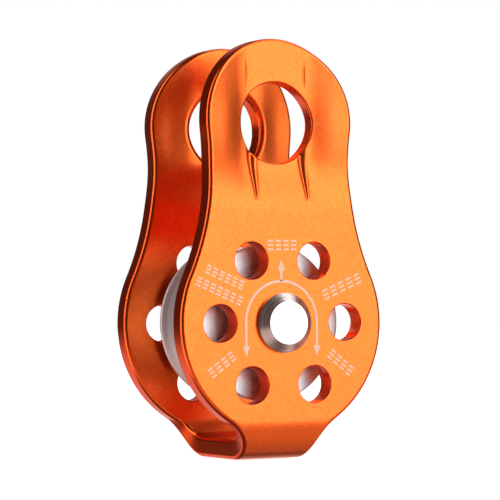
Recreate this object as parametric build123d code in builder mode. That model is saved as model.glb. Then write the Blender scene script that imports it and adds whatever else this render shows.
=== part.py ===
"""Rope pulley: a one-piece bent frame, a grooved sheave on two sealed ball bearings, and a fixed axle.

Frame of reference: origin at the centre of the carabiner eye, on the mid-plane between the two
side plates.  +Z points up, along the line from the axle to the eye.  +Y runs along the eye and
the axle, from the front plate to the rear plate.  +X runs across the plates.
"""
import os
from math import cos, hypot, pi, sqrt

from build123d import *

os.makedirs("parts", exist_ok=True)

# ---------------------------------------------------------------- frame: bent plate
plate_thickness = 5.0
plate_gap = 26.0                # clear width between the two flat plates
eye_to_axle = 49.5
eye_diameter = 20.3
head_radius = 20.6              # outline around the eye
head_rise = 0.5                 # centre of the head outline above the centre of the eye
body_radius = 28.4              # outline around the axle
waist_radius = 65.0             # hollow side between head and body
foot_width = 18.8               # strap that joins the two plates
foot_blend_radius = 10.0        # hollow corner between body and strap
foot_drop = 33.9                # axle to the underside of the strap
bend_inner_radius = 5.0
outline_edge_radius = 0.9
eye_mouth_radius = 1.6          # rounding on the inner rim of the eye
eye_outer_radius = 0.5          # rounding on the outer rim of the eye

# pressed dish: the head of each plate is set inwards, most along its middle
dish_depth = 3.0
dish_floor_half = 6.5           # half width of the flat strip in the middle
dish_start = eye_to_axle - 27.5 # below the eye, where the plate starts to turn in
dish_end = dish_start - 14.0    # below the eye, where it is fully in

# six lightening holes around the axle
hole_diameter = 9.2
hole_count = 6
hole_circle_diameter = 35.3
hole_edge_radius = 0.3

# ---------------------------------------------------------------- axle
axle_diameter = 10.0
axle_clearance = 0.05           # in the plates and in the spacers
cap_diameter = axle_diameter + 4.8      # head on each end of the axle
cap_height = 2.8
cap_land = 1.0                  # straight side of the head, below its chamfer
cap_face_diameter = cap_diameter - 4.2
tail_diameter = axle_diameter - 2.4     # riveted end that holds the rear collar
tail_flare = 0.9                # height and width of the riveted flare
tail_clearance = 0.02

# ---------------------------------------------------------------- ball bearings
ball_diameter = 3.5
ball_count = 9
race_clearance = 0.05
cage_pocket_clearance = 0.1
cage_web = 0.3                  # cage on each side of its pockets
cage_width = ball_diameter + 2 * (cage_pocket_clearance + cage_web)
seal_thickness = 0.5
seal_inset = 0.1
cage_to_seal = 0.25
bearing_width = cage_width + 2 * (cage_to_seal + seal_thickness + seal_inset)
bearing_bore = axle_diameter
bearing_bore_clearance = 0.02
bearing_outer_diameter = bearing_bore + 2 * (ball_diameter + 2.5)
bearing_edge_chamfer = 0.3
ball_circle_diameter = (bearing_bore + bearing_outer_diameter) / 2
inner_shoulder_diameter = ball_circle_diameter - 2.4
outer_shoulder_diameter = ball_circle_diameter + 2.4
seal_seat_diameter = outer_shoulder_diameter + 0.8
seal_seat_clearance = 0.01
seal_lip_clearance = 0.15
cage_inner_diameter = ball_circle_diameter - 1.5
cage_outer_diameter = ball_circle_diameter + 1.5

# ---------------------------------------------------------------- sheave
side_clearance = 2.35           # between each face of the sheave and its plate
sheave_width = plate_gap - 2 * side_clearance
tread_diameter = bearing_outer_diameter + 5.0       # at the bottom of the rope groove
groove_depth = 6.25
sheave_diameter = tread_diameter + 2 * groove_depth
rim_land = 0.9                  # flat on the edge of each flange
rim_edge_radius = 0.3
bearing_recess = 0.65           # each bearing sits this far below the face of the sheave
rib_width = sheave_width - 2 * (bearing_recess + bearing_width)     # between the bearing seats
rib_bore_diameter = bearing_outer_diameter - 2.6
seat_clearance = 0.01
seat_chamfer = 0.4

# ---------------------------------------------------------------- spacers
spacer_diameter = inner_shoulder_diameter - 0.4

# ---------------------------------------------------------------- places worked out from the above
axle_z = -eye_to_axle
foot_z = axle_z - foot_drop
inner_y = plate_gap / 2
outer_y = inner_y + plate_thickness
bend_outer_radius = bend_inner_radius + plate_thickness
bearing_inner_y = rib_width / 2
bearing_outer_y = bearing_inner_y + bearing_width
bearing_mid_y = bearing_inner_y + bearing_width / 2
front = -1
rear = 1


def along_y(y):
    """Plane across the axle at y, centred on the axle, with its normal along +Y."""
    return Plane(origin=(0, y, axle_z), x_dir=(1, 0, 0), z_dir=(0, 1, 0))


# Half-section plane through the axle: its x is the radius and its y is the place along the axle.
axle_section = Plane(origin=(0, 0, axle_z), x_dir=(1, 0, 0), z_dir=(0, 0, 1))
axle_line = Axis((0, 0, axle_z), (0, 1, 0))


def save(shape, name):
    """Label a finished piece and write it to its own file."""
    shape.label = name
    export_step(shape, f"parts/{name}.step")


# ---------------------------------------------------------------- frame outline
def outside_blend(low, low_radius, high, high_radius, blend):
    """Centre, on the +X side, of a circle that touches two stacked circles from outside."""
    d = high[1] - low[1]
    along = ((low_radius + blend) ** 2 - (high_radius + blend) ** 2 + d * d) / (2 * d)
    across = sqrt((low_radius + blend) ** 2 - along * along)
    return low[0] + across, low[1] + along


def toward(start, end, r):
    """Point at distance r from start on the way to end."""
    d = hypot(end[0] - start[0], end[1] - start[1])
    return start[0] + (end[0] - start[0]) * r / d, start[1] + (end[1] - start[1]) * r / d


def arc_about(centre, r, start, end):
    """Short arc about a centre."""
    middle = ((start[0] + end[0]) / 2, (start[1] + end[1]) / 2)
    return ThreePointArc(start, toward(centre, middle, r), end)


# Right half, each stretch tangent to the next: head circle, hollow waist, body circle,
# hollow corner and the straight side of the strap.
head_centre = (0, head_rise)
body_centre = (0, axle_z)
head_top = head_rise + head_radius
waist_centre = outside_blend(body_centre, body_radius, head_centre, head_radius, waist_radius)
corner_x = foot_width / 2 + foot_blend_radius
corner_z = axle_z - sqrt((body_radius + foot_blend_radius) ** 2 - corner_x**2)
corner_centre = (corner_x, corner_z)
head_side = toward(head_centre, waist_centre, head_radius)
body_top = toward(body_centre, waist_centre, body_radius)
body_foot = toward(body_centre, corner_centre, body_radius)
strap_top = (foot_width / 2, corner_z)
below_foot = 2.0

with BuildSketch(Plane.XZ.offset(-outer_y - 2)) as outline:
    with BuildLine():
        arc_about(head_centre, head_radius, (0, head_top), head_side)
        arc_about(waist_centre, waist_radius, head_side, body_top)
        ThreePointArc(body_top, (body_radius, axle_z), body_foot)
        arc_about(corner_centre, foot_blend_radius, body_foot, strap_top)
        Line(strap_top, (foot_width / 2, foot_z - below_foot))
        Line((foot_width / 2, foot_z - below_foot), (0, foot_z - below_foot))
        Line((0, foot_z - below_foot), (0, head_top))
    make_face()
    mirror(about=Plane.YZ)

# ---------------------------------------------------------------- dished head of one plate
slab_half = head_radius + 2
slab_top = head_top + 2


def press_at(z):
    """Share of the full dish depth at height z: 0 below the dish, 1 from its end up."""
    t = min(max((z + dish_start) / (dish_start - dish_end), 0), 1)
    return (1 - cos(pi * t)) / 2


def dish_at(x):
    """Share of the dish depth at x: 1 on the flat strip, falling evenly to 0 past the outline."""
    bend = 5.0
    t = max(abs(x) - dish_floor_half, 0)
    slope = 1 / (slab_half - dish_floor_half - bend / 2)
    if t < bend:
        return 1 - slope * t * t / (2 * bend)
    return 1 - slope * (t - bend / 2)


def head_section(z):
    """Cross-section of the front plate at height z, on its own plane."""
    xs = [-slab_half + slab_half * i / 8 for i in range(17)]
    skin = [(x, -outer_y + dish_depth * press_at(z) * dish_at(x)) for x in xs]
    inner_skin = [(x, y + plate_thickness) for x, y in skin]
    with BuildSketch(Plane.XY.offset(z)) as section:
        with BuildLine():
            Spline(*skin)
            Line(skin[-1], inner_skin[-1])
            Spline(*reversed(inner_skin))
            Line(inner_skin[0], skin[0])
        make_face()
    return section.sketch


dish_steps = 6
dish_levels = [-dish_start + (dish_start - dish_end) * i / dish_steps for i in range(dish_steps + 1)]

with BuildPart() as head:
    for z in dish_levels:
        add(head_section(z))
    loft()
    add(head_section(-dish_end))
    extrude(amount=slab_top + dish_end)

# ---------------------------------------------------------------- frame
with BuildPart() as frame:
    with BuildSketch(Plane.YZ):
        with BuildLine():
            FilletPolyline(
                (-outer_y, -dish_start),
                (-outer_y, foot_z),
                (outer_y, foot_z),
                (outer_y, -dish_start),
                radius=bend_outer_radius,
            )
            Line((outer_y, -dish_start), (inner_y, -dish_start))
            FilletPolyline(
                (inner_y, -dish_start),
                (inner_y, foot_z + plate_thickness),
                (-inner_y, foot_z + plate_thickness),
                (-inner_y, -dish_start),
                radius=bend_inner_radius,
            )
            Line((-inner_y, -dish_start), (-outer_y, -dish_start))
        make_face()
    extrude(amount=body_radius + 2, both=True)
    add(head.part)
    mirror(head.part, about=Plane.XZ)
    extrude(outline.sketch, amount=2 * outer_y + 4, mode=Mode.INTERSECT)

    # Round both rims of the whole outline.
    walls = frame.faces().filter_by(lambda f: abs(f.normal_at().Y) < 0.01)
    walls = walls.filter_by(lambda f: f.geom_type == GeomType.CYLINDER or abs(f.normal_at().X) > 0.9)
    wall_edges = walls.edges()
    rims = [e for e in wall_edges if sum(e.is_same(other) for other in wall_edges) == 1]
    fillet(rims, outline_edge_radius)

    # Holes through both plates, along Y.
    with BuildSketch(Plane.XZ.offset(-outer_y - 1)):
        Circle(eye_diameter / 2)
        with Locations((0, axle_z)):
            Circle(axle_diameter / 2 + axle_clearance)
            with PolarLocations(hole_circle_diameter / 2, hole_count):
                Circle(hole_diameter / 2)
    extrude(amount=2 * outer_y + 2, mode=Mode.SUBTRACT)
    bores = frame.faces().filter_by(GeomType.CYLINDER)
    small_bores = bores.filter_by(lambda f: abs(f.radius - hole_diameter / 2) < 0.01)
    fillet(small_bores.edges().filter_by(GeomType.CIRCLE), hole_edge_radius)
    for side in (front, rear):
        eye = bores.filter_by(lambda f: abs(f.radius - eye_diameter / 2) < 0.01 and f.center().Y * side > 0)
        rounds = eye.edges().filter_by(GeomType.LINE, reverse=True).sort_by(lambda e: abs(e.center().Y))
        fillet(rounds[0], eye_mouth_radius)
        fillet(rounds[-1], eye_outer_radius)

# The frame is one piece of metal, stored as its two plates and the strap with its two bends.
# They meet face to face where the bends start.
bend_start = Plane.XY.offset(foot_z + bend_outer_radius)
plates = split(frame.part, bisect_by=bend_start, keep=Keep.TOP)
front_plate, rear_plate = plates.solids().sort_by(Axis.Y)
strap = split(frame.part, bisect_by=bend_start, keep=Keep.BOTTOM)

save(front_plate, "front_plate")
save(rear_plate, "rear_plate")
save(strap, "strap")

# ---------------------------------------------------------------- axle and its riveted collar
cap_y = outer_y + cap_height
cap_radius = cap_diameter / 2
cap_face_radius = cap_face_diameter / 2
tail_radius = tail_diameter / 2

with BuildPart() as axle_pin:
    with BuildSketch(axle_section):
        with BuildLine():
            Polyline(
                (0, -cap_y),
                (cap_face_radius, -cap_y),
                (cap_radius, -outer_y - cap_land),
                (cap_radius, -outer_y),
                (axle_diameter / 2, -outer_y),
                (axle_diameter / 2, outer_y),
                (tail_radius, outer_y),
                (tail_radius, cap_y - tail_flare),
                (tail_radius + tail_flare, cap_y),
                (0, cap_y),
                close=True,
            )
        make_face()
    revolve(axis=axle_line)

collar_bore = tail_radius + tail_clearance
with BuildPart() as axle_collar:
    with BuildSketch(axle_section):
        with BuildLine():
            Polyline(
                (collar_bore, outer_y),
                (cap_radius, outer_y),
                (cap_radius, outer_y + cap_land),
                (cap_face_radius, cap_y),
                (collar_bore + tail_flare, cap_y),
                (collar_bore, cap_y - tail_flare),
                close=True,
            )
        make_face()
    revolve(axis=axle_line)

save(axle_pin.part, "axle_pin")
save(axle_collar.part, "axle_collar")


# ---------------------------------------------------------------- plain rings along the axle
def ring(inner_radius, outer_radius, start_y, end_y):
    """Plain ring about the axle between two places along it."""
    with BuildPart() as made:
        with BuildSketch(along_y(start_y)):
            Circle(outer_radius)
            Circle(inner_radius, mode=Mode.SUBTRACT)
        extrude(amount=end_y - start_y)
    return made.part


spacer_bore = axle_diameter / 2 + axle_clearance
save(ring(spacer_bore, spacer_diameter / 2, -inner_y, -bearing_outer_y), "front_spacer")
save(ring(spacer_bore, spacer_diameter / 2, bearing_outer_y, inner_y), "rear_spacer")
save(ring(spacer_bore, spacer_diameter / 2, -bearing_inner_y, bearing_inner_y), "centre_sleeve")

# ---------------------------------------------------------------- sheave
# The groove is one arc through both flange edges and the tread.
groove_mouth = sheave_width / 2 - rim_land
seat_radius = bearing_outer_diameter / 2 + seat_clearance

with BuildPart() as sheave:
    with BuildSketch(axle_section) as sheave_profile:
        with BuildLine():
            Polyline(
                (sheave_diameter / 2, groove_mouth),
                (sheave_diameter / 2, sheave_width / 2),
                (seat_radius + seat_chamfer, sheave_width / 2),
                (seat_radius, sheave_width / 2 - seat_chamfer),
                (seat_radius, bearing_inner_y),
                (rib_bore_diameter / 2, bearing_inner_y),
                (rib_bore_diameter / 2, -bearing_inner_y),
                (seat_radius, -bearing_inner_y),
                (seat_radius, -sheave_width / 2 + seat_chamfer),
                (seat_radius + seat_chamfer, -sheave_width / 2),
                (sheave_diameter / 2, -sheave_width / 2),
                (sheave_diameter / 2, -groove_mouth),
            )
            ThreePointArc(
                (sheave_diameter / 2, -groove_mouth),
                (tread_diameter / 2, 0),
                (sheave_diameter / 2, groove_mouth),
            )
        make_face()
        rim_corners = sheave_profile.vertices().group_by(Axis.X)[-1]
        fillet(rim_corners, rim_edge_radius)
    revolve(axis=axle_line)

save(sheave.part, "sheave")

# ---------------------------------------------------------------- ball bearings
ball_radius = ball_diameter / 2
race_radius = ball_radius + race_clearance
ball_circle_radius = ball_circle_diameter / 2
ring_half_width = bearing_width / 2
seal_out = ring_half_width - seal_inset
seal_in = seal_out - seal_thickness
seal_hole = inner_shoulder_diameter / 2 + seal_lip_clearance
seal_rim = seal_seat_diameter / 2 - seal_seat_clearance


def inner_ring(y):
    """Inner ring with a race groove, centred at y."""
    low = bearing_bore / 2 + bearing_bore_clearance
    high = inner_shoulder_diameter / 2
    with BuildPart() as made:
        with BuildSketch(axle_section) as profile:
            with Locations(((low + high) / 2, y)):
                Rectangle(high - low, bearing_width)
            chamfer(profile.vertices().group_by(Axis.X)[0], bearing_edge_chamfer)
            with Locations((ball_circle_radius, y)):
                Circle(race_radius, mode=Mode.SUBTRACT)
        revolve(axis=axle_line)
    return made.part


def outer_ring(y):
    """Outer ring with a race groove and a step at each face for a seal, centred at y."""
    high = bearing_outer_diameter / 2
    low = outer_shoulder_diameter / 2
    step = seal_seat_diameter / 2
    step_depth = ring_half_width - seal_in
    with BuildPart() as made:
        with BuildSketch(axle_section) as profile:
            with Locations(((low + high) / 2, y)):
                Rectangle(high - low, bearing_width)
            chamfer(profile.vertices().group_by(Axis.X)[-1], bearing_edge_chamfer)
            with Locations(((low + step) / 2, y)):
                with GridLocations(0, bearing_width - step_depth, 1, 2):
                    Rectangle(step - low, step_depth, mode=Mode.SUBTRACT)
            with Locations((ball_circle_radius, y)):
                Circle(race_radius, mode=Mode.SUBTRACT)
        revolve(axis=axle_line)
    return made.part


def cage(y):
    """Ball cage: a ring with one round pocket for each ball."""
    with BuildPart(along_y(y)) as made:
        Cylinder(cage_outer_diameter / 2, cage_width)
        Cylinder(cage_inner_diameter / 2, cage_width, mode=Mode.SUBTRACT)
        with PolarLocations(0, ball_count):
            Cylinder(
                ball_radius + cage_pocket_clearance,
                cage_outer_diameter,
                rotation=(0, 90, 0),
                align=(Align.CENTER, Align.CENTER, Align.MIN),
                mode=Mode.SUBTRACT,
            )
    return made.part


def balls(y):
    """Full set of balls on their pitch circle."""
    with BuildPart(along_y(y)) as made:
        with PolarLocations(ball_circle_radius, ball_count):
            Sphere(ball_radius)
    return made.part


for place, side in (("front", front), ("rear", rear)):
    y = side * bearing_mid_y
    save(inner_ring(y), f"{place}_bearing_inner_ring")
    save(outer_ring(y), f"{place}_bearing_outer_ring")
    save(cage(y), f"{place}_bearing_cage")
    save(balls(y), f"{place}_bearing_balls")
    for face, facing in (("outboard", side), ("inboard", -side)):
        near_y = y + facing * seal_in
        far_y = y + facing * seal_out
        seal = ring(seal_hole, seal_rim, min(near_y, far_y), max(near_y, far_y))
        save(seal, f"{place}_bearing_{face}_seal")
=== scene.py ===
"""Looks of the rope pulley: orange anodised frame, turned aluminium sheave and polished steel axle."""
from math import cos, pi, radians, sin, sqrt

import bpy
import numpy as np
from mathutils import Matrix, Vector
from mathutils.geometry import delaunay_2d_cdt


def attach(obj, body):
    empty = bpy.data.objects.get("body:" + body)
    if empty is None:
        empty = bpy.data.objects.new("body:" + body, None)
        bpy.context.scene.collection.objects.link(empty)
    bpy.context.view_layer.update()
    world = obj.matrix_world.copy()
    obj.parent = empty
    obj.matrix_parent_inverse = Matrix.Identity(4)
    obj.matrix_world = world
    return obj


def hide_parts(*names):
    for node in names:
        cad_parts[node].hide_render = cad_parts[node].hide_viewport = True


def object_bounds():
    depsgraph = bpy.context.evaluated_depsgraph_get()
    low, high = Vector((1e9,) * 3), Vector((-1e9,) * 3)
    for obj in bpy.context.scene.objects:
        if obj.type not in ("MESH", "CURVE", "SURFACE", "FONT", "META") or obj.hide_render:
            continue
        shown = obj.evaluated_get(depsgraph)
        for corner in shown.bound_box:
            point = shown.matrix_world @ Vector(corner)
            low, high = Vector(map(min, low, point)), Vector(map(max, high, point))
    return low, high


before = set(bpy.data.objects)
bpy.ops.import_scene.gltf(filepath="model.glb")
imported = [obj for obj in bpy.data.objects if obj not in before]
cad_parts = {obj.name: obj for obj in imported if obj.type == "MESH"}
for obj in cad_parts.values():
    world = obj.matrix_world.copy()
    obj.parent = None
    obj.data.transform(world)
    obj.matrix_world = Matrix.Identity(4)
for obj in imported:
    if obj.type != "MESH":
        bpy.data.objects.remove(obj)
cad_low, cad_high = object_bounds()
MM = 0.001
AXLE_Z = -49.5                  # height of the axle, in mm, with the middle of the eye at zero


# ---------------------------------------------------------------- camera
def direction(azimuth, elevation):
    """Unit vector towards a place around the object: azimuth 0 is in front (-Y), 90 is to the right (+X)."""
    a = radians(azimuth)
    e = radians(elevation)
    return Vector((sin(a) * cos(e), -cos(a) * cos(e), sin(e)))


def place_camera():
    """Long lens, a little below the middle of the pulley and well to its left."""
    aim = Vector((-0.9, -2.9, -31.15)) * MM
    distance = 606 * MM
    roll = radians(-0.49)
    back = direction(-29.03, -1.42)
    data = bpy.data.cameras.new("camera")
    data.sensor_width = 36
    data.lens = 173.1
    data.clip_start = 0.05
    data.clip_end = 20
    camera = bpy.data.objects.new("camera", data)
    bpy.context.scene.collection.objects.link(camera)
    turn = (-back).to_track_quat("-Z", "Y").to_matrix().to_4x4() @ Matrix.Rotation(roll, 4, "Z")
    camera.matrix_world = Matrix.Translation(aim + back * distance) @ turn
    bpy.context.scene.camera = camera


# ---------------------------------------------------------------- node helpers
class Nodes:
    """A material's node tree, with short calls to add and join nodes."""

    def __init__(self, tree):
        self.tree = tree
        tree.nodes.clear()

    def feed(self, socket, value):
        """Give a socket a number, a colour or another node's output."""
        if isinstance(value, bpy.types.NodeSocket):
            self.tree.links.new(value, socket)
        else:
            socket.default_value = value

    def add(self, kind, settings=None, inputs=None):
        """New node of a kind, with its settings and what is fed to its inputs."""
        node = self.tree.nodes.new(kind)
        for name, value in (settings or {}).items():
            setattr(node, name, value)
        for name, value in (inputs or {}).items():
            self.feed(node.inputs[name], value)
        return node

    def surface(self, shader):
        """Show a shader on the surface."""
        self.add("ShaderNodeOutputMaterial", inputs={"Surface": shader.outputs[0]})

    def place(self):
        """Place on the object, in metres."""
        return self.add("ShaderNodeTexCoord").outputs["Object"]

    def math(self, operation, a, b=0.0, clamp=False):
        """Output of one maths step."""
        node = self.add("ShaderNodeMath", {"operation": operation, "use_clamp": clamp})
        for i, value in enumerate((a, b)):
            self.feed(node.inputs[i], value)
        return node.outputs[0]

    def ramp(self, value, stops):
        """Colour ramp through (place, colour) stops."""
        node = self.add("ShaderNodeValToRGB", inputs={"Fac": value})
        ramp = node.color_ramp
        while len(ramp.elements) < len(stops):
            ramp.elements.new(0.5)
        for element, (place, colour) in zip(ramp.elements, stops):
            element.position = place
            element.color = colour
        return node.outputs["Color"]

    def mix(self, factor, a, b, blend="MIX"):
        """Colour mixed from a to b."""
        node = self.add("ShaderNodeMix", {"data_type": "RGBA", "blend_type": blend})
        for i, value in ((0, factor), (6, a), (7, b)):  # the node's colour sockets
            self.feed(node.inputs[i], value)
        return node.outputs[2]

    def noise(self, vector, size, detail=2.0, roughness=0.5):
        """Noise whose grains are about size metres across."""
        node = self.add(
            "ShaderNodeTexNoise",
            inputs={"Vector": vector, "Scale": 1 / size, "Detail": detail, "Roughness": roughness},
        )
        return node.outputs["Fac"]


def new_material(name):
    """Empty material and its nodes."""
    material = bpy.data.materials.new(name)
    material.use_nodes = True
    return material, Nodes(material.node_tree)


def grey(value):
    """Opaque grey of a brightness."""
    return (value, value, value, 1.0)


# ---------------------------------------------------------------- studio
# The panels of the studio tent: left and right azimuth, low and high elevation and softness of the
# edge, all in degrees, and brightness.
PANELS = {
    "softbox in front, to the right": (3, 48, -8, 56, 13, 2.85),
    "its glow on the table": (-6, 84, -58, -11, 16, 0.6),
    "table in front, to the left": (-76, -6, -58, -17, 14, 0.6),
    "narrow strip on the left": (-108, -76, -38, 60, 7, 2.2),
    "card behind, to the right": (95, 172, -30, 50, 15, 0.32),
    "table behind, to the left": (-190, -108, -38, -10, 18, 0.7),
    "table behind, to the right": (92, 190, -34, -10, 16, 0.6),
    "table to the right": (70, 125, -78, -46, 14, 0.4),
    "small lamp overhead, to the right": (55, 125, 42, 80, 12, 1.6),
}
TENT_LIGHT = 0.08               # the tent between its panels
TABLE_LIGHT = 0.06              # added towards straight below
WARM = (1.0, 0.52, 0.4, 1.0)    # colour of the dim parts of the tent
WARM_LOSS = 0.6                 # how fast it fades as the light grows


def build_studio():
    """Light tent round the pulley: bright panels in dim warm surroundings, with a white background and table.

    A panel's brightness falls smoothly to nothing across each of its four edges, and the tent's light
    is the sum of its panels.
    """
    bpy.context.scene.view_settings.view_transform = "Standard"
    world = bpy.data.worlds.new("studio")
    world.use_nodes = True
    bpy.context.scene.world = world
    n = Nodes(world.node_tree)
    where = n.add("ShaderNodeTexCoord").outputs["Generated"]
    axes = n.add("ShaderNodeSeparateXYZ", inputs={0: where})
    azimuth = n.math("ARCTAN2", axes.outputs["X"], n.math("MULTIPLY", axes.outputs["Y"], -1.0))
    elevation = n.math("ARCSINE", axes.outputs["Z"])
    below = n.math("MULTIPLY", axes.outputs["Z"], -TABLE_LIGHT, clamp=True)
    light = n.math("ADD", below, TENT_LIGHT)
    for left, right, low, high, soft, level in PANELS.values():
        panel = level
        for value, edge, way in ((azimuth, left, 1), (azimuth, right, -1), (elevation, low, 1), (elevation, high, -1)):
            past = n.math("MULTIPLY", n.math("SUBTRACT", value, radians(edge)), way / radians(soft))
            step = n.add(
                "ShaderNodeMapRange",
                {"interpolation_type": "SMOOTHSTEP"},
                {"Value": past, "From Min": -0.5, "From Max": 0.5},
            )
            panel = n.math("MULTIPLY", step.outputs[0], panel)
        light = n.math("ADD", light, panel)
    seen = n.add("ShaderNodeLightPath").outputs["Is Camera Ray"]
    strength = n.math("ADD", n.math("MULTIPLY", light, n.math("SUBTRACT", 1.0, seen)), seen)
    warm = n.math("SUBTRACT", 1.0, n.math("MULTIPLY", light, WARM_LOSS), clamp=True)
    warm = n.math("MULTIPLY", warm, n.math("SUBTRACT", 1.0, seen))
    colour = n.mix(warm, grey(1.0), WARM)
    background = n.add("ShaderNodeBackground", inputs={"Color": colour, "Strength": strength})
    n.add("ShaderNodeOutputWorld", inputs={"Surface": background.outputs[0]})

    bpy.ops.mesh.primitive_plane_add(size=6, location=(0, 0, cad_low.z - 0.3 * MM))
    floor = bpy.context.object
    floor.name = "table"
    for ray in ("diffuse", "glossy", "transmission", "volume_scatter", "shadow"):
        setattr(floor, f"visible_{ray}", False)  # the tent lights the pulley from below
    floor.data.materials.append(table_paper())


def table_paper():
    """Bright white paper with a faint tooth."""
    material, n = new_material("white_paper")
    place = n.place()
    tooth = n.noise(place, 2 * MM)
    glow = n.ramp(tooth, [(0, grey(0.97)), (1, grey(1.0))])
    shader = n.add(
        "ShaderNodeBsdfPrincipled",
        inputs={"Base Color": grey(0.8), "Roughness": 0.9, "Emission Color": glow, "Emission Strength": 0.9},
    )
    n.surface(shader)
    return material


# ---------------------------------------------------------------- materials
def metal(name, colour, roughness, coat=0.0, coat_roughness=0.2):
    """New metal material and the nodes that its finish adds to."""
    material, n = new_material(name)
    shader = n.add(
        "ShaderNodeBsdfPrincipled",
        inputs={
            "Base Color": (*colour, 1.0),
            "Metallic": 1.0,
            "Roughness": roughness,
            "Coat Weight": coat,
            "Coat Roughness": coat_roughness,
            "Coat IOR": 1.6,
        },
    )
    n.surface(shader)
    return material, n, shader


def orange_anodising():
    """Dyed, bead-blasted aluminium: fine grain and flecks on the faces, smoother along the machined edges, with
    painted shade: a deeper, darker red painted on the walls of the edges and holes.
    """
    material, n, shader = metal("orange_anodising", (0.95, 0.15, 0.0235), 0.32, 0.07, 0.25)
    place = n.place()
    grain = n.noise(place, 0.3 * MM, 3.0, 0.7)
    fleck = n.noise(place, 0.55 * MM, 2.0, 0.65)
    cloud = n.noise(place, 9 * MM, 2.0, 0.5)
    edge = n.add("ShaderNodeAttribute", {"attribute_name": "edge"}).outputs["Fac"]
    link = n.tree.links.new
    base_colour = n.ramp(fleck, [(0.35, (0.88, 0.130, 0.0200, 1)), (0.65, (1.0, 0.180, 0.0300, 1))])
    base_colour = n.mix(n.math("MULTIPLY", cloud, 0.25), base_colour, (0.92, 0.16, 0.026, 1))
    # Painted shade: the walls of the outline and of the holes get a deeper, darker red that stands in for the dark
    # reflections they show.
    painted_wall_shade = n.math("MULTIPLY", n.math("MULTIPLY", edge, edge), 0.8)
    base_colour = n.mix(painted_wall_shade, base_colour, (0.97, 0.095, 0.014, 1))
    link(base_colour, shader.inputs["Base Color"])
    gloss = n.ramp(grain, [(0.3, grey(0.27)), (0.7, grey(0.34))])
    link(n.mix(edge, gloss, grey(0.2)), shader.inputs["Roughness"])
    bump = n.add("ShaderNodeBump", inputs={"Height": grain, "Strength": 0.6, "Distance": 0.04 * MM})
    link(bump.outputs[0], shader.inputs["Normal"])
    return material


def turned_metal(name, colour, roughness, across=0.6 * MM, depth=0.0015 * MM, metallic=1.0, streaks=0.9):
    """Turned metal: fine rings about the axle in colour, gloss and surface.

    across is the width of a ring, depth its height, and streaks how dark the darkest ring is.
    """
    material, n, shader = metal(name, colour, roughness)
    shader.inputs["Metallic"].default_value = metallic
    place = n.place()
    centred = n.add("ShaderNodeMapping", {"vector_type": "POINT"}, {"Vector": place, "Location": (0, 0, -AXLE_Z * MM)})
    axes = n.add("ShaderNodeSeparateXYZ", inputs={0: centred.outputs[0]})
    squares = [n.math("MULTIPLY", axes.outputs[axis], axes.outputs[axis]) for axis in ("X", "Z")]
    radius = n.math("SQRT", n.math("ADD", *squares))
    ring_place = n.add("ShaderNodeCombineXYZ", inputs={"X": radius, "Y": axes.outputs["Y"]})
    rings = n.noise(ring_place.outputs[0], across, 2.0, 0.6)
    link = n.tree.links.new
    dull = tuple(streaks * channel for channel in colour)
    link(n.ramp(rings, [(0.35, (*dull, 1)), (0.6, (*colour, 1))]), shader.inputs["Base Color"])
    link(n.ramp(rings, [(0.3, grey(roughness * 0.8)), (0.7, grey(roughness * 1.25))]), shader.inputs["Roughness"])
    bump = n.add("ShaderNodeBump", inputs={"Height": rings, "Strength": 1.0, "Distance": depth})
    link(bump.outputs[0], shader.inputs["Normal"])
    return material


def black_rubber():
    """Moulded black rubber of the bearing seals: dull, with a fine tooth."""
    material, n = new_material("black_rubber")
    tooth = n.noise(n.place(), 0.25 * MM, 2.0, 0.6)
    shader = n.add(
        "ShaderNodeBsdfPrincipled",
        inputs={
            "Base Color": n.ramp(tooth, [(0.3, grey(0.012)), (0.7, grey(0.03))]),
            "Roughness": n.ramp(tooth, [(0.3, grey(0.48)), (0.7, grey(0.62))]),
        },
    )
    bump = n.add("ShaderNodeBump", inputs={"Height": tooth, "Strength": 0.3, "Distance": 0.02 * MM})
    n.tree.links.new(bump.outputs[0], shader.inputs["Normal"])
    n.surface(shader)
    return material


def paint(node_name, material):
    """Give a CAD node its finish."""
    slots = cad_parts[node_name].data.materials
    slots.clear()
    slots.append(material)


# ---------------------------------------------------------------- shapes shared by the frame's surfaces, in mm
PLATE_HALF = 2.5                # half the plate's thickness
MID_Y = 15.5                    # middle of each plate, from the middle of the pulley
HEAD_Z = 0.5                    # middle of the round head
HEAD_RADIUS = 20.6
BODY_RADIUS = 28.4              # round the axle
WAIST_RADIUS = 65.0             # hollow between head and body
CORNER_RADIUS = 10.0            # hollow between body and strap
CORNER_X = 19.4                 # middle of that hollow
STRAP_SIDE = 9.45               # half the width of the strap
BEND_Z = -73.4                  # height where each plate starts to bend into the strap
BEND_MID = 7.5                  # radius of the bend, to the middle of the plate
STRAP_HALF = 8.0                # from the bend to the middle of the strap
STRAP_END = BEND_Z - BEND_MID * pi / 2 - STRAP_HALF
EDGE_ROUND = 1.05               # both rims of the whole outline
WALL_LEAN = 0.35                # how far the walls of the plate follow the slope of the dish
DISH_DEPTH = 3.0
DISH_FLAT = 6.5                 # half the width of its level middle
DISH_BEND = 5.0                 # width of the curve beside it
DISH_SIDE = 22.6                # where its slope runs out
DISH_FOOT = -22.0               # height where the pressing starts
DISH_RISE = 14.0                # height over which it reaches its depth
THIN_X = 8.2                    # the two thin pressed lines: place, half width, depth, foot and length
THIN_WIDTH = 0.25
THIN_DEPTH = 0.11
THIN_FOOT = 8.5
THIN_LENGTH = 7.5
TAPER_X = 7.2                   # the two lines that taper downwards: place, depth, foot and length
TAPER_DEPTH = 0.36
TAPER_FOOT = -19.5
TAPER_LENGTH = 13.0
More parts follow.
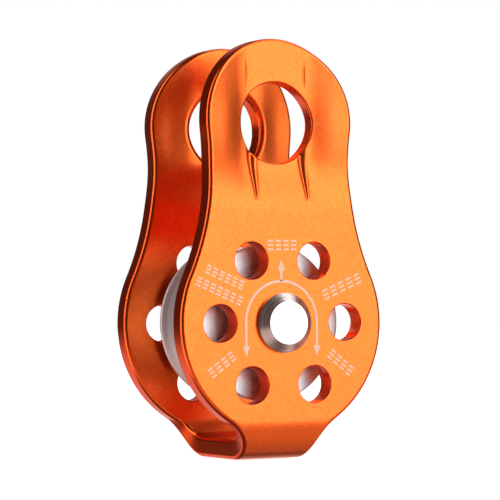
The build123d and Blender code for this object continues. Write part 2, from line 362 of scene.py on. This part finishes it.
# Holes: x, z, radius, rounding of the outer and of the inner rim.
EYE = (0.0, 0.0, 10.15, 0.5, 1.6)
AXLE_HOLE = (0.0, AXLE_Z, 5.05, 0.05, 0.05)
HOLE_CIRCLE = 17.65             # radius of the ring of lightening holes
LIGHT_HOLES = [
    (HOLE_CIRCLE * cos(radians(turn)), AXLE_Z + HOLE_CIRCLE * sin(radians(turn)), 4.6, 0.3, 0.3)
    for turn in range(0, 360, 60)
]
HOLES = [EYE, AXLE_HOLE] + LIGHT_HOLES


def smooth(t):
    """Rises from 0 to 1 as t goes from 0 to 1, level at both ends."""
    t = np.clip(t, 0, 1)
    return (1 - np.cos(pi * t)) / 2


def dish(x, s):
    """Depth of the pressed head: full on a strip in the middle, falling to the sides, none below.

    Level in the middle, then a curve into an even slope; beside the eye the slope is steeper near
    the hole and flatter near the edge.  Up the plate it rises as half a wave.
    """
    out = np.maximum(np.abs(x) - DISH_FLAT, 0)
    slope = 1 / (DISH_SIDE - DISH_FLAT - DISH_BEND / 2)
    even = np.where(out < DISH_BEND, slope * out**2 / (2 * DISH_BEND), slope * (out - DISH_BEND / 2))
    beside = 0.3 * np.exp(-((s / 9) ** 2))
    fall = (1 - beside) * even + beside * smooth(out / 10)
    return DISH_DEPTH * smooth((s - DISH_FOOT) / DISH_RISE) * (1 - fall)


def creases(x, s):
    """Depth of the four pressed lines: two thin ones above the eye and two that taper down from it.

    The thin ones are narrow hollows that fade at both ends.  The lower ones are a hollow beside a
    ridge, widest at the eye and narrowing to a point.
    """
    marks = np.zeros_like(x)
    for side in (-1, 1):
        above = np.sin(pi * np.clip((s - THIN_FOOT) / THIN_LENGTH, 0, 1)) ** 0.7
        marks = marks + THIN_DEPTH * above * np.exp(-(((x - side * THIN_X) / THIN_WIDTH) ** 2))
        t = np.clip((s - TAPER_FOOT) / TAPER_LENGTH, 0, 1)
        width = 0.24 + 0.5 * t
        fade = t**0.4 * smooth(-s / 3)
        centre = side * TAPER_X
        hollow = np.exp(-(((x - centre + 0.25 * t) / width) ** 2))
        ridge = np.exp(-(((x - centre - 1.9 * width) / width) ** 2))
        marks = marks + TAPER_DEPTH * fade * (hollow - 0.5 * ridge)
    return marks


def slopes(depth, x, s):
    """How fast a depth changes across and up, by small steps to each side."""
    d = 0.02
    return (depth(x + d, s) - depth(x - d, s)) / (2 * d), (depth(x, s + d) - depth(x, s - d)) / (2 * d)


def on_plate(x, s, n):
    """Point of the front plate at x across, s along the strip and n in from its middle, and its three directions.

    The strip runs level from the middle of the strap, turns a quarter circle, and then goes straight up.
    The dish moves it inwards, the creases only its outer skin, and the wall leans with the dish by the
    share in WALL_LEAN.
    """
    turn = np.clip((BEND_Z - s) / BEND_MID, 0, pi / 2)
    up = np.maximum(s - BEND_Z, 0)
    level = np.maximum(BEND_Z - BEND_MID * pi / 2 - s, 0)
    radius = BEND_MID - n
    outer = np.clip(-n / PLATE_HALF, 0, 1)
    wall_across, wall_rise = slopes(dish, x, s)
    line_across, line_rise = slopes(creases, x, s)
    across = wall_across + outer * line_across
    rise = wall_rise + outer * line_rise
    place = np.stack(
        [
            x - WALL_LEAN * n * wall_across,
            -(MID_Y - BEND_MID) - radius * np.cos(turn) + level + dish(x, s) + outer * creases(x, s),
            BEND_Z + up - radius * np.sin(turn) - WALL_LEAN * n * wall_rise,
        ],
        axis=-1,
    )
    zero = np.zeros_like(x)
    one = np.ones_like(x)
    inward = np.stack([-across, np.cos(turn), np.sin(turn) - rise], axis=-1)
    sideways = np.stack([one, wall_across, zero], axis=-1)
    along = np.stack([zero, -np.sin(turn) + wall_rise, np.cos(turn)], axis=-1)
    return place, unit(inward), unit(sideways), unit(along)


def unit(v):
    """The same directions with length 1."""
    return v / np.linalg.norm(v, axis=-1, keepdims=True)


def arc(centre, radius, start, end, step=0.7):
    """Points on a circle from one angle to another, in degrees, both ends included."""
    count = max(int(radius * abs(radians(end - start)) / step), 3) + 1
    a = np.radians(np.linspace(start, end, count))
    return np.stack([centre[0] + radius * np.cos(a), centre[1] + radius * np.sin(a)], axis=-1)


def outline():
    """Edge of one plate from the middle of the strap up the right side, over the head and down the left.

    Head circle, hollow waist, body circle and hollow corner touch each other; below the bend the
    corner goes on along the strip at the height of the middle of the plate.
    """
    head = np.array([0, HEAD_Z])
    body = np.array([0, AXLE_Z])
    gap = head[1] - body[1]
    low = BODY_RADIUS + WAIST_RADIUS
    high = HEAD_RADIUS + WAIST_RADIUS
    along = (low**2 - high**2 + gap**2) / (2 * gap)
    waist = np.array([sqrt(low**2 - along**2), body[1] + along])
    corner = np.array([CORNER_X, body[1] - sqrt((BODY_RADIUS + CORNER_RADIUS) ** 2 - CORNER_X**2)])

    def angle(a, b):
        return np.degrees(np.arctan2(*(b - a)[::-1]))

    upper = angle(head, waist)
    lower = angle(body, waist)
    foot = angle(body, corner)
    pieces = [
        arc(corner, CORNER_RADIUS, 180, angle(corner, body), 0.15),
        arc(body, BODY_RADIUS, foot, lower),
        arc(waist, WAIST_RADIUS, 180 + lower, 180 + upper),
        arc(head, HEAD_RADIUS, upper, 90),
    ]
    right = np.concatenate([p if i == 0 else p[1:] for i, p in enumerate(pieces)])
    # Heights below the start of the bend become lengths along the strip.
    drop = BEND_Z - right[:, 1]
    on_bend = drop < BEND_MID - 0.02
    right = right[on_bend]
    drop = drop[on_bend]
    right[:, 1] = np.where(drop > 0, BEND_Z - BEND_MID * np.arcsin(np.clip(drop / BEND_MID, 0, 1)), right[:, 1])
    strap = np.stack([np.full(12, STRAP_SIDE), np.linspace(STRAP_END, BEND_Z - BEND_MID * pi / 2, 12)], axis=-1)
    right = np.concatenate([strap, right[right[:, 1] > strap[-1, 1] + 0.3]])
    left = right[-2::-1] * [-1, 1]
    return np.concatenate([right, left])


def outward_of(path, closed):
    """Unit directions square to a path, on its right-hand side."""
    if closed:
        step = np.roll(path, -1, axis=0) - np.roll(path, 1, axis=0)
    else:
        step = np.gradient(path, axis=0)
        step[[0, -1]] = [[0, 1], [0, -1]]
    return unit(np.stack([step[:, 1], -step[:, 0]], axis=-1))


def edge_rows(outer_round, inner_round):
    """Profile of an edge from the outer face to the inner face: inset, place through the plate, and facing."""
    q = np.linspace(0, pi / 2, 7)
    sine = np.sin(q)
    cosine = np.cos(q)
    outer_through = -(PLATE_HALF - outer_round) - outer_round * cosine
    inner_through = PLATE_HALF - inner_round + inner_round * sine
    outer = np.stack([outer_round * (1 - sine), outer_through, sine, -cosine])
    inner = np.stack([inner_round * (1 - cosine), inner_through, cosine, sine])
    return np.concatenate([outer, inner], axis=1)


WELD = 0.0005                   # points closer than this are joined, in mm


class Shell:
    """Collects points, triangles, facings and edge mask of one piece: edge gloss and painted wall shade."""

    def __init__(self):
        self.points = []
        self.normals = []
        self.edge = []
        self.faces = []
        self.count = 0

    def add(self, points, normals, edge, faces):
        """Take in points with their facings and edge mask, and triangles numbered among these points."""
        points = points.reshape(-1, 3)
        self.points.append(points)
        self.normals.append(normals.reshape(-1, 3))
        self.edge.append(np.broadcast_to(edge, len(points)) if np.ndim(edge) == 0 else edge.reshape(-1))
        self.faces.append(faces + self.count)
        self.count += len(points)

    def mesh(self, name):
        """Join points that coincide, mirror the plate to the rear, and put it all into a mesh."""
        points = np.concatenate(self.points)
        normals = np.concatenate(self.normals)
        edge = np.concatenate(self.edge)
        faces = np.concatenate(self.faces)
        rear = len(points)
        points = np.concatenate([points, points * [1, -1, 1]])
        normals = np.concatenate([normals, normals * [1, -1, 1]])
        edge = np.concatenate([edge, edge])
        faces = np.concatenate([faces, faces[:, ::-1] + rear])
        keys = np.round(points / WELD).astype(np.int64)
        first, back = np.unique(keys, axis=0, return_index=True, return_inverse=True)[1:]
        faces = back.reshape(-1)[faces]
        faces = faces[(faces[:, 0] != faces[:, 1]) & (faces[:, 1] != faces[:, 2]) & (faces[:, 2] != faces[:, 0])]
        mesh = bpy.data.meshes.new(name)
        mesh.from_pydata((points[first] * MM).tolist(), [], faces.tolist())
        mesh.attributes.new("edge", "FLOAT", "POINT").data.foreach_set("value", edge[first].astype(np.float32))
        mesh.polygons.foreach_set("use_smooth", np.ones(len(mesh.polygons), dtype=bool))
        mesh.normals_split_custom_set_from_vertices(normals[first].tolist())
        mesh.update()
        return mesh


def strip_faces(rows, columns, closed):
    """Triangles of a grid of rows and columns, joined round at the end if it is closed."""
    r, c = np.meshgrid(np.arange(rows - 1), np.arange(columns if closed else columns - 1), indexing="ij")
    a = r * columns + c
    b = r * columns + (c + 1) % columns
    d = a + columns
    e = b + columns
    return np.concatenate([np.stack([a, e, b], -1).reshape(-1, 3), np.stack([a, d, e], -1).reshape(-1, 3)])


def circle(hole, grow=0.0, step=0.45):
    """Points round a hole, clockwise, so that the right-hand side is the middle of the hole."""
    count = int(2 * pi * hole[2] / step / 4) * 4
    a = -2 * pi * np.arange(count) / count
    return np.stack([hole[0] + (hole[2] + grow) * np.cos(a), hole[1] + (hole[2] + grow) * np.sin(a)], axis=-1)


def add_edge(shell, path, out, outer_round, inner_round, closed):
    """Carry the edge's profile along a path: the profile's inset goes against out, its depth through the plate."""
    inset, n, facing_out, facing_in = edge_rows(outer_round, inner_round)
    flat = path[None] - out[None] * inset[:, None, None]
    depth = np.broadcast_to(n[:, None], flat.shape[:2])
    place, inward, sideways, along = on_plate(flat[..., 0], flat[..., 1], depth)
    out_dir = unit(out[None, :, :1] * sideways + out[None, :, 1:] * along)
    normal = unit(facing_out[:, None, None] * out_dir + facing_in[:, None, None] * inward)
    # Edge mask, 1 in the middle of the wall and 0 on the faces: glossier edges and painted shade on the walls. The
    # sine ends a hair below zero, so the last row has no value; the finish takes that as none.
    edge_gloss_and_shade = np.sin(np.pi * np.arange(len(inset)) / (len(inset) - 1)) ** 0.5
    edge_gloss_and_shade = np.broadcast_to(edge_gloss_and_shade[:, None], flat.shape[:2])
    shell.add(place, normal, edge_gloss_and_shade, strip_faces(len(inset), len(path), closed))


def add_face(shell, loops, n, facing):
    """Fill one face of the plate between its loops, with a grid of points that is closer where it is pressed."""
    rim = loops[0]
    fixed = np.concatenate(loops)
    # Left, right, foot, top and spacing of each grid: the whole plate, then the pressed lines.
    grids = [(-30, 30, STRAP_END, 22, 1.1)]
    grids += [(side - 2.6, side + 2.6, -20.5, -5.0, 0.22) for side in (-7.3, 7.3)]
    grids += [(side - 1.3, side + 1.3, 7.8, 16.8, 0.2) for side in (-THIN_X, THIN_X)]
    points = np.empty((0, 2))
    for x0, x1, z0, z1, step in grids:
        xs, zs = np.meshgrid(np.arange(x0, x1, step), np.arange(z0 + step / 2, z1, step * 0.87))
        xs = xs + (np.arange(len(xs)) % 2)[:, None] * step / 2
        grid = np.stack([xs.ravel(), zs.ravel()], axis=-1)
        near = np.abs(grid[:, None] - fixed[None]).max(axis=2).min(axis=1)
        points = np.concatenate([points[~within(points, x0, x1, z0, z1)], grid[near > step * 0.55]])
    points = points[inside(points, rim)]
    for hole in HOLES:
        points = points[~in_hole(points, hole, facing)]
    every = np.concatenate([fixed, points])
    edges = []
    start = 0
    for loop in loops:
        index = np.arange(len(loop)) + start
        edges += list(zip(index.tolist(), np.roll(index, -1).tolist()))
        start += len(loop)
    result = delaunay_2d_cdt([Vector(p) for p in every.tolist()], edges, [], 0, 1e-6)
    source = np.array([o[0] for o in result[3]])
    faces = source[np.array(result[2])]
    middle = every[faces].mean(axis=1)
    keep = inside(middle, rim)
    for hole in HOLES:
        keep &= ~in_hole(middle, hole, facing)
    faces = faces[keep]
    if facing > 0:
        faces = faces[:, ::-1]
    place, inward, sideways, along = on_plate(every[:, 0], every[:, 1], np.full(len(every), n))
    shell.add(place, inward * facing, 0.0, faces)


def within(points, x0, x1, z0, z1):
    """Whether points lie in a box."""
    return (points[:, 0] > x0) & (points[:, 0] < x1) & (points[:, 1] > z0) & (points[:, 1] < z1)


def in_hole(points, hole, facing):
    """Whether points lie within the many-sided loop where a hole's rounded edge meets a face.

    Seen from the middle of the hole, a side of the loop is as far off as its own middle, over the
    cosine of the angle from that middle.
    """
    across = points[:, 0] - hole[0]
    up = points[:, 1] - hole[1]
    half_side = pi / len(circle(hole))
    off_middle = np.arctan2(up, across) % (2 * half_side) - half_side
    reach = hole[2] + (hole[3] if facing < 0 else hole[4])
    return np.hypot(across, up) * np.cos(off_middle) < reach * cos(half_side)


def inside(points, rim):
    """Whether points lie inside the right and left edges of the outline at their height."""
    half = rim[: len(rim) // 2 + 1]
    width = np.interp(points[:, 1], half[:, 1], half[:, 0], left=-1, right=-1)
    return np.abs(points[:, 0]) < width


def build_frame(material):
    """One bent plate: both faces, the rounded edge all round, and the rounded edges of its holes."""
    shell = Shell()
    rim = outline()
    out = outward_of(rim, False)
    add_edge(shell, rim, out, EDGE_ROUND, EDGE_ROUND, False)
    faces = {-1: [rim - out * EDGE_ROUND], 1: [rim - out * EDGE_ROUND]}
    for hole in HOLES:
        edge = circle(hole)
        inwards = outward_of(edge, True)
        add_edge(shell, edge, inwards, hole[3], hole[4], True)
        faces[-1].append(edge - inwards * hole[3])
        faces[1].append(edge - inwards * hole[4])
    for facing, loops in faces.items():
        add_face(shell, loops, facing * PLATE_HALF, facing)
    mesh = shell.mesh("bent_frame")
    mesh.materials.append(material)
    piece = bpy.data.objects.new("bent_frame", mesh)
    bpy.context.scene.collection.objects.link(piece)
    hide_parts("front_plate", "rear_plate", "strap")
    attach(piece, "frame_body")


# ---------------------------------------------------------------- printed marks on the front plate
INK_SHIFT = -0.5                # the print sits a little left of the axle
INK_TOP = -18.03                # just proud of the plate
INK_BACK = -17.95               # just below its surface
BAR_SHARE = 0.33                # half the length of a bar, as a share of the pitch
BAR_HALF = 0.24                 # half the width of a bar
BAR_INSET = 0.2                 # from the end of a stack to the middle of its last bar
ARCH_RADIUS = 10.0
ARCH_Z = 0.3                    # middle of the arch, from the axle
ARCH_FOOT = -5.6
LINE_HALF = 0.3                 # half the width of the arch's line
ARROW_TIP = 0.06                # half the width where an arrow ends
# Rows of plain marks: middle from the axle, turn in degrees, number of marks, pitch and height.
ROWS = [
    ((0.3, 19.2), 0, 4, 2.2, 2.5),
    ((17.3, 8.9), 23, 5, 2.5, 2.5),
    ((-15.9, 11.3), -23, 6, 1.95, 2.2),
    ((-17.4, 7.9), -23, 7, 2.0, 2.2),
    ((-16.8, -10.0), 35, 4, 2.2, 2.4),
    ((16.8, -10.0), -38, 4, 2.2, 2.4),
]


def stroke(path, half_width):
    """Flat line of ink along a path: at each point a thin rectangle stands square to the path."""
    path = np.asarray(path, dtype=float)
    half_width = np.broadcast_to(half_width, len(path))[:, None]
    step = np.gradient(path, axis=0)
    side = unit(np.stack([step[:, 1], -step[:, 0]], axis=-1))
    right = path + side * half_width
    left = path - side * half_width
    ring = []
    for edge, y in ((right, INK_TOP), (left, INK_TOP), (left, INK_BACK), (right, INK_BACK)):
        ring.append(np.stack([edge[:, 0] + INK_SHIFT, np.full(len(edge), y), edge[:, 1] + AXLE_Z], axis=-1))
    points = np.concatenate(ring)
    k = len(path)
    columns = np.arange(k - 1)
    faces = []
    for corner in range(4):
        a = corner * k + columns
        d = (corner + 1) % 4 * k + columns
        faces += [np.stack([a, a + 1, d + 1], -1), np.stack([a, d + 1, d], -1)]
    start = np.arange(4) * k
    end = start + k - 1
    faces += [start[[[0, 1, 2], [0, 2, 3]]], end[[[2, 1, 0], [3, 2, 0]]]]
    return points, np.concatenate(faces)


def turned(points, centre, angle):
    """Points about the origin, turned by an angle in degrees and moved to a centre."""
    a = radians(angle)
    return np.asarray(points) @ np.array([[cos(a), sin(a)], [-sin(a), cos(a)]]) + centre


def block_row(centre, angle, count, pitch, height):
    """Row of plain marks in place of writing: each is a stack of three short bars."""
    strokes = []
    for i in range(count):
        middle = (i - (count - 1) / 2) * pitch
        half = pitch * BAR_SHARE
        for level in (-1, 0, 1):
            rise = level * (height / 2 - BAR_INSET)
            strokes.append(stroke(turned([(middle - half, rise), (middle + half, rise)], centre, angle), BAR_HALF))
    return strokes


def build_print(material):
    """Arch over the axle with an arrow at each end, an arrow straight up, and six rows of plain marks."""
    arch = arc((0, ARCH_Z), ARCH_RADIUS, 0, 180, 0.3)
    arch = np.concatenate([[[ARCH_RADIUS, ARCH_FOOT]], arch, [[-ARCH_RADIUS, ARCH_FOOT]]])
    strokes = [stroke(arch, LINE_HALF), stroke([(0, 10.32), (0, 12.88)], 0.32)]
    strokes.append(stroke([(0, 12.9), (0, 15.6)], [0.95, ARROW_TIP]))
    for x in (-ARCH_RADIUS, ARCH_RADIUS):
        strokes.append(stroke([(x, -5.62), (x, -8.2)], [0.9, ARROW_TIP]))
    for row in ROWS:
        strokes += block_row(*row)
    points = []
    faces = []
    count = 0
    for place, triangles in strokes:
        points.append(place)
        faces.append(triangles + count)
        count += len(place)
    mesh = bpy.data.meshes.new("printed_marks")
    mesh.from_pydata((np.concatenate(points) * MM).tolist(), [], np.concatenate(faces).tolist())
    mesh.materials.append(material)
    piece = bpy.data.objects.new("printed_marks", mesh)
    bpy.context.scene.collection.objects.link(piece)
    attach(piece, "frame_body")


def white_ink():
    """Thin pale ink, a little pink where the orange shows through it."""
    material, n = new_material("white_ink")
    place = n.place()
    speckle = n.noise(place, 0.3 * MM, 2.0, 0.6)
    colour = n.ramp(speckle, [(0.3, (0.95, 0.66, 0.52, 1)), (0.7, (1.0, 0.8, 0.68, 1))])
    shader = n.add("ShaderNodeBsdfPrincipled", inputs={"Base Color": colour, "Roughness": 0.55})
    n.surface(shader)
    return material


place_camera()
build_studio()
anodising = orange_anodising()
build_frame(anodising)
build_print(white_ink())
finishes = {
    "sheave": turned_metal("turned_aluminium", (0.95, 0.95, 0.98), 0.4, 0.9 * MM, 0.005 * MM, 0.76, 0.75),
    "axle": turned_metal("polished_steel", (0.80, 0.77, 0.75), 0.24, 0.22 * MM, 0.04 * MM, 1.0, 0.75),
    "ring": turned_metal("ground_bearing_steel", (0.58, 0.57, 0.56), 0.18, 0.4 * MM),
    "balls": turned_metal("polished_balls", (0.70, 0.70, 0.70), 0.06, 0.4 * MM, 0.0005 * MM, 1.0, 0.98),
    "cage": turned_metal("pressed_cage", (0.55, 0.52, 0.48), 0.33, 1.2 * MM),
    "spacer": turned_metal("turned_spacer", (0.72, 0.72, 0.74), 0.27, 0.3 * MM, 0.004 * MM),
    "seal": black_rubber(),
}
for node_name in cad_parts:
    if node_name not in ("front_plate", "rear_plate", "strap"):
        words = node_name.split("_")
        kind = next((word for word in ("seal", "balls", "cage", "ring", "spacer", "sheave") if word in words), "axle")
        if "sleeve" in words:
            kind = "spacer"
        paint(node_name, finishes[kind])
